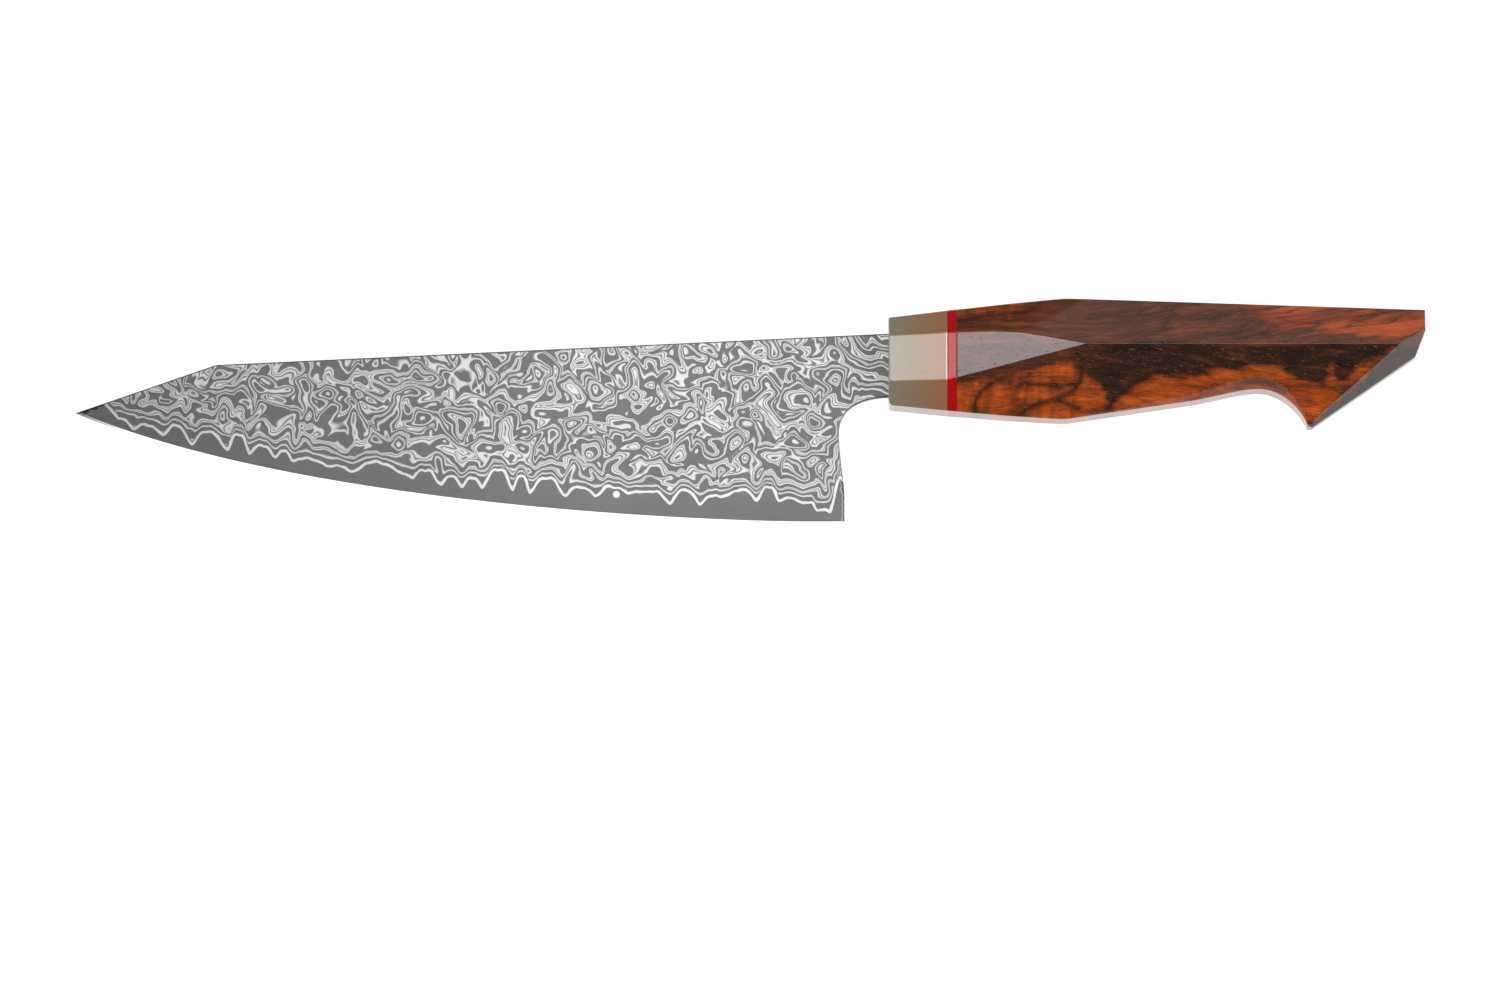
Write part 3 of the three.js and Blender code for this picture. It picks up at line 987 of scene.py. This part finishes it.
def core_steel():
    look = Look("CoreSteel", Metallic=1.0)
    brushed = look.noise(look.place((9, 0.15, 9)), 1.0, 3.0)
    cloud = look.noise(look.place((14, 7, 7)), 1.0, 2.0)
    base = look.mix(0.35, grey(0.17), look.spread(cloud, 0.3, 0.7, 0.14, 0.20))
    base = look.mix(0.25, base, look.spread(brushed, 0.2, 0.8, 0.12, 0.22))
    here = look.parts(look.place())
    bevel = look.spread(look.layer("above_edge"), BEVEL_WIDTH - 0.06, BEVEL_WIDTH + 0.06, 1.0, 0.0)
    from_tip = look.math("SUBTRACT", here[0], TIP[0] + ORIGIN.x / MM)
    bevel = look.times(bevel, look.spread(from_tip, 2.0, 14.0, 0.15, 1.0))
    dx = look.math("SUBTRACT", here[0], DOT[0] + ORIGIN.x / MM)
    dy = look.math("SUBTRACT", here[1], DOT[1] + ORIGIN.y / MM)
    away = look.math("SQRT", look.math("ADD", look.times(dx, dx), look.times(dy, dy)))
    spot = look.spread(away, 0.85, 1.05, 1.0, 0.0)
    base = look.mix(spot, base, grey(0.75))
    # the core is multiplied by the painted shade towards the tip and the heel
    base = look.mix(1.0, base, painted_falloff_along_blade(look), "MULTIPLY")
    look.out("Base Color", look.mix(bevel, base, grey(0.85)))
    look.out("Roughness", look.spread(bevel, 0, 1, 0.42, 0.28))
    look.bump(brushed, 0.12, 0.02)
    return look.material


def horn():
    look = Look("Horn", IOR=1.62, Roughness=0.1)
    along = look.parts(look.place())[0]
    cloud = look.noise(look.place((9, 4, 4)), 1.0, 3.0, 0.55, 0.4)
    start = ORIGIN.x / MM
    position = look.spread(look.stray(along, cloud, 7.0), start, start + FERRULE_END)
    base = look.ramp(position, [
        (0.0, rgb(118, 110, 97)), (0.4, rgb(120, 101, 79)),
        (0.75, rgb(128, 93, 67)), (1.0, rgb(132, 86, 60)),
    ])
    fibres = look.noise(look.place((14, 0.5, 0.5)), 1.0, 3.0)
    look.out("Base Color", look.mix(0.25, base, look.spread(fibres, 0.25, 0.75, 0.7, 1.2), "MULTIPLY"))
    look.bump(fibres, 0.05, 0.02)
    return look.material


def red_spacer():
    look = Look("RedSpacer", IOR=1.42, Roughness=0.14)
    grain = look.noise(look.place((0.8, 1.5, 1.5)), 1.0, 4.0)
    look.out("Base Color", look.ramp(grain, [(0.3, rgb(142, 2, 8)), (0.7, rgb(160, 3, 12))]))
    look.bump(grain, 0.04, 0.02)
    return look.material


def handle_wood():
    look = Look("HandleWood", IOR=1.56, Roughness=0.12)
    sway = look.node("ShaderNodeTexNoise", {"Vector": look.place((22, 9, 9)), "Scale": 1.0, "Detail": 3.0})
    offset = look.vector("SUBTRACT", sway.outputs["Color"], (0.5, 0.5, 0.5))
    swayed = look.parts(look.vector("ADD", look.place(), look.vector("SCALE", offset, scale=5.0)))
    along = look.math("SUBTRACT", swayed[0], ORIGIN.x / MM)
    up = look.math("SUBTRACT", swayed[1], ORIGIN.y / MM)
    upper = look.spread(up, RIDGE_Y - 0.4, RIDGE_Y + 0.4)  # 1 above the ridge, 0 below it

    # the grain rises towards the butt above the ridge and falls a little below it
    tilt = look.times(look.spread(upper, 0, 1, -0.09, 0.19), look.spread(along, 30, 80))
    level = look.math("SUBTRACT", up, look.times(tilt, look.math("SUBTRACT", along, 55.0)))
    grain = look.node("ShaderNodeCombineXYZ", {0: along, 1: level, 2: swayed[2]}).outputs[0]

    def stretched(x, y):
        return look.node("ShaderNodeMapping", {"Vector": grain, "Scale": (1 / x, 1 / y, 1 / y)}).outputs[0]

    blotches = look.noise(stretched(9, 2.2), 1.0, 5.0, 0.6, 0.2)
    streaks = look.noise(stretched(24, 1.1), 1.0, 4.0, 0.55, 0.1)
    mottle = look.mix(look.spread(upper, 0, 1, 0.35, 0.8), blotches, streaks)
    bands = look.noise(stretched(34, 4.2), 1.0, 3.0, 0.5, 0.1)
    front = look.spread(along, 62.0, 48.0)

    # orange sapwood: mottled and cloudy at the front, in drawn-out bands at the rear
    cloud = look.noise(look.place((7, 5, 5)), 1.0, 4.0, 0.6, 0.4)
    drawn_out = look.math("ADD", look.mix(0.6, mottle, bands), 0.045)
    warm = look.ramp(look.mix(front, drawn_out, look.math("ADD", look.mix(0.55, mottle, cloud), 0.045)), [
        (0.36, rgb(52, 27, 12)), (0.45, rgb(88, 40, 12)),
        (0.54, rgb(136, 56, 11)), (0.68, rgb(164, 74, 16)),
    ])
    curl = look.noise(look.place((2.6, 22, 22), (0, 0, 0.1)), 1.0, 2.0)
    curled = look.mix(look.times(front, 0.85), grey(1.0), look.spread(curl, 0.38, 0.62, 0.66, 1.3))
    warm = look.mix(1.0, warm, curled, "MULTIPLY")
    redder = look.math("ADD", bands, look.spread(along, 92, 118, 0.0, 0.11))
    brown = look.ramp(redder, [
        (0.36, rgb(60, 28, 14)), (0.46, rgb(100, 42, 14)),
        (0.54, rgb(132, 54, 12)), (0.68, rgb(150, 64, 16)),
    ])
    base = look.mix(upper, warm, look.mix(look.times(front, 0.8), brown, warm))

    # dark heartwood, black below the ridge and browner above it and at the front
    broken = look.noise(stretched(7, 2.4), 1.0, 5.0, 0.6, 0.3)
    ragged = look.stray(look.layer("heart_depth"), broken, 5.5)
    heart = look.ramp(mottle, [(0.36, rgb(20, 11, 8)), (0.54, rgb(38, 20, 12)), (0.70, rgb(78, 38, 18))])
    umber = look.ramp(mottle, [(0.34, rgb(56, 30, 19)), (0.52, rgb(80, 40, 22)), (0.68, rgb(104, 50, 27))])
    browner = look.math("MAXIMUM", upper, look.times(front, 0.5))
    base = look.mix(look.spread(ragged, -0.8, 1.0), base, look.mix(browner, heart, umber))

    # black veins: listed at the front, thin and drawn out along the rear
    shiver = look.noise(look.place((1.1, 1.1, 1.1)), 1.0, 3.0)
    edge = look.stray(look.layer("to_vein"), shiver, 1.0)
    halo = look.spread(edge, 2.7, 0.1)
    drawn = look.math("ABSOLUTE", look.math("SUBTRACT", look.noise(stretched(42, 6.5), 1.0, 3.0, 0.5), 0.5))
    rear = look.math("SUBTRACT", 1.0, front)
    drawn_strength = look.times(rear, look.spread(upper, 0, 1, 0.4, 1.0))
    halo = look.math("MAXIMUM", halo, look.times(look.spread(drawn, 0.045, 0.0), drawn_strength))
    thin = look.times(look.spread(drawn, 0.014, 0.0), drawn_strength)
    vein = look.math("MAXIMUM", look.spread(edge, 1.0, 0.0), thin)
    base = look.mix(look.times(halo, 0.62), base, rgb(52, 26, 12))
    vein_strength = look.times(vein, look.spread(upper, 0, 1, 0.72, 0.4))
    base = look.mix(vein_strength, base, rgb(20, 10, 7))

    # fine fibres, short golden flecks below the ridge and open pores
    fibre = look.noise(stretched(7, 0.42), 1.0, 3.0, 0.65, 0.3)
    base = look.mix(0.85, base, look.spread(fibre, 0.28, 0.72, 0.5, 1.45), "MULTIPLY")
    fleck = look.noise(look.place((3.4, 0.2, 0.2), (0, 0, 0.25)), 1.0, 1.0)
    gold = look.times(look.spread(fleck, 0.67, 0.76, 0.0, 0.7), look.spread(upper, 0, 1, 1.0, 0.35))
    base = look.mix(gold, base, rgb(150, 86, 36))
    pores = look.noise(look.place((1.3, 0.24, 0.24), (0, 0, -0.35)), 1.0, 1.0)
    open_pores = look.spread(pores, 0.72, 0.76)
    base = look.mix(look.times(open_pores, 0.8), base, rgb(14, 8, 5))
    look.out("Base Color", base)
    look.out("Roughness", look.spread(open_pores, 0, 1, 0.12, 0.6))
    look.bump(look.math("SUBTRACT", 1.0, open_pores), 0.4, 0.04)
    return look.material


def plain_wood(name, pale, deep):
    look = Look(name, Roughness=0.6)
    grain = look.noise(look.place((14, 0.7, 0.7)), 1.0, 4.0, 0.6, 0.5)
    look.out("Base Color", look.ramp(grain, [(0.3, deep), (0.7, pale)]))
    look.bump(grain, 0.2, 0.05)
    return look.material


def bedding_resin():
    look = Look("BeddingResin", Roughness=0.45)
    cloud = look.noise(look.place((2, 2, 2)), 1.0, 3.0)
    look.out("Base Color", look.ramp(cloud, [(0.3, rgb(205, 190, 140)), (0.7, rgb(225, 212, 168))]))
    return look.material


def floor_panel():
    look = Look("FloorPanel", Roughness=0.9, Emission_Color=grey(1.0), Emission_Strength=1.0)
    cloud = look.noise(look.place((60, 60, 60)), 1.0, 2.0)
    look.out("Base Color", look.ramp(cloud, [(0.3, grey(0.05)), (0.7, grey(0.06))]))
    return look.material


# ---- Pieces ----

make_core(core_steel())
layered = layered_steel()
make_cladding("CladdingLeft", 1, 11, layered, "cladding_left")
make_cladding("CladdingRight", -1, 51, layered, "cladding_right")
make_handle_part(
    "Ferrule", 0.0, FERRULE_END, 0.1, 0.8, horn(), "horn_ferrule",
    facet_lines(0, FERRULE_END) + ferrule_lines(), front_round=FERRULE_ROUND, rear_bevel=FERRULE_BEVEL,
)
make_handle_part("Spacer", FERRULE_END, SPACER_END, 0.1, 0.5, red_spacer(), "red_spacer")
make_handle_part(
    "HandleBody", SPACER_END, BUTT_X, EDGE_ROUND, 0.8, handle_wood(), "handle_body",
    facet_lines(SPACER_END, BUTT_X) + VEIN_LINES, wood_figure, ["heart_depth", "to_vein"],
)
inner_looks = {
    "tang_dowel": plain_wood("DowelWood", rgb(205, 170, 120), rgb(170, 132, 84)),
    "tang_bedding": bedding_resin(),
}
for node, material in inner_looks.items():
    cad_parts[node].material_slots[0].material = material

# ---- Floor, lights and camera ----

FLOOR_HALF_X = 0.9
FLOOR_FRONT, FLOOR_BACK = -1.6, 0.12  # the panel reaches far on the edge's side and ends behind the spine


def make_floor():
    """A softly glowing white panel that the knife lies on, in front of an equally white backdrop."""
    mesh = bpy.data.meshes.new("Floor")
    left, right = -FLOOR_HALF_X, FLOOR_HALF_X
    corners = [(left, FLOOR_FRONT, 0), (right, FLOOR_FRONT, 0), (right, FLOOR_BACK, 0), (left, FLOOR_BACK, 0)]
    mesh.from_pydata(corners, [], [(0, 1, 2, 3)])
    mesh.materials.append(floor_panel())
    floor = bpy.data.objects.new("Floor", mesh)
    bpy.context.scene.collection.objects.link(floor)


def soft_box(name, away, turn, size, radiance, distance=1.6, shift=0.0):
    """A soft box aimed at the knife. `away` is its angle from straight up, `turn` its heading from +Y."""
    a, t = math.radians(away), math.radians(turn)
    direction = Vector((math.sin(a) * math.sin(t), math.sin(a) * math.cos(t), math.cos(a)))
    light = bpy.data.lights.new(name, "AREA")
    light.shape = "RECTANGLE"
    light.size, light.size_y = size
    light.energy = radiance * math.pi * size[0] * size[1]
    made = bpy.data.objects.new(name, light)
    bpy.context.scene.collection.objects.link(made)
    made.location = direction * distance + Vector((shift, 0, 0))
    made.rotation_mode = "QUATERNION"
    made.rotation_quaternion = direction.to_track_quat("Z", "Y")
    made.visible_camera = False
    return made


def make_lights():
    soft_box("OverheadBox", 8.0, 0, (0.62, 0.36), 4.9, shift=-0.02)
    soft_box("RearBox", 56.0, 0, (1.6, 0.36), 0.45)
    soft_box("LeftBox", 55.0, -90, (2.4, 1.6), 2.9)
    soft_box("RightBox", 55.0, 90, (2.4, 1.6), 2.9)
    soft_box("RightStrip", 55.3, 82, (0.8, 0.24), 9.0, distance=1.5)
    world = bpy.data.worlds.new("Studio")
    world.use_nodes = True
    tree = world.node_tree
    background = tree.nodes["Background"]
    background.inputs["Color"].default_value = grey(1.0)
    rays = tree.nodes.new("ShaderNodeLightPath")
    strength = tree.nodes.new("ShaderNodeMapRange")
    strength.inputs["To Min"].default_value = 0.13  # the dim studio that the knife sees
    strength.inputs["To Max"].default_value = 1.0  # the pale backdrop behind it
    tree.links.new(rays.outputs["Is Camera Ray"], strength.inputs["Value"])
    tree.links.new(strength.outputs[0], background.inputs["Strength"])
    bpy.context.scene.world = world


CAMERA_TILT = 7.4  # degrees from straight down, towards the cutting edge
CAMERA_LENS = 400.0
FRAME_WIDTH = 409.6  # millimetres across the picture
VIEW_MIDDLE = (-37.8, -37.4)  # design point in the middle of the picture


def make_camera():
    data = bpy.data.cameras.new("Camera")
    data.lens = CAMERA_LENS
    data.sensor_width = 36.0
    data.clip_end = 100.0
    camera = bpy.data.objects.new("Camera", data)
    bpy.context.scene.collection.objects.link(camera)
    tilt = math.radians(CAMERA_TILT)
    back = Vector((0, -math.sin(tilt), math.cos(tilt)))
    target = Vector(to_row((*VIEW_MIDDLE, 0)))
    camera.location = target + back * (FRAME_WIDTH * MM * data.lens / data.sensor_width)
    camera.rotation_mode = "QUATERNION"
    camera.rotation_quaternion = back.to_track_quat("Z", "Y")
    bpy.context.scene.camera = camera


make_floor()
make_lights()
make_camera()
bpy.context.scene.view_settings.view_transform = "Standard"
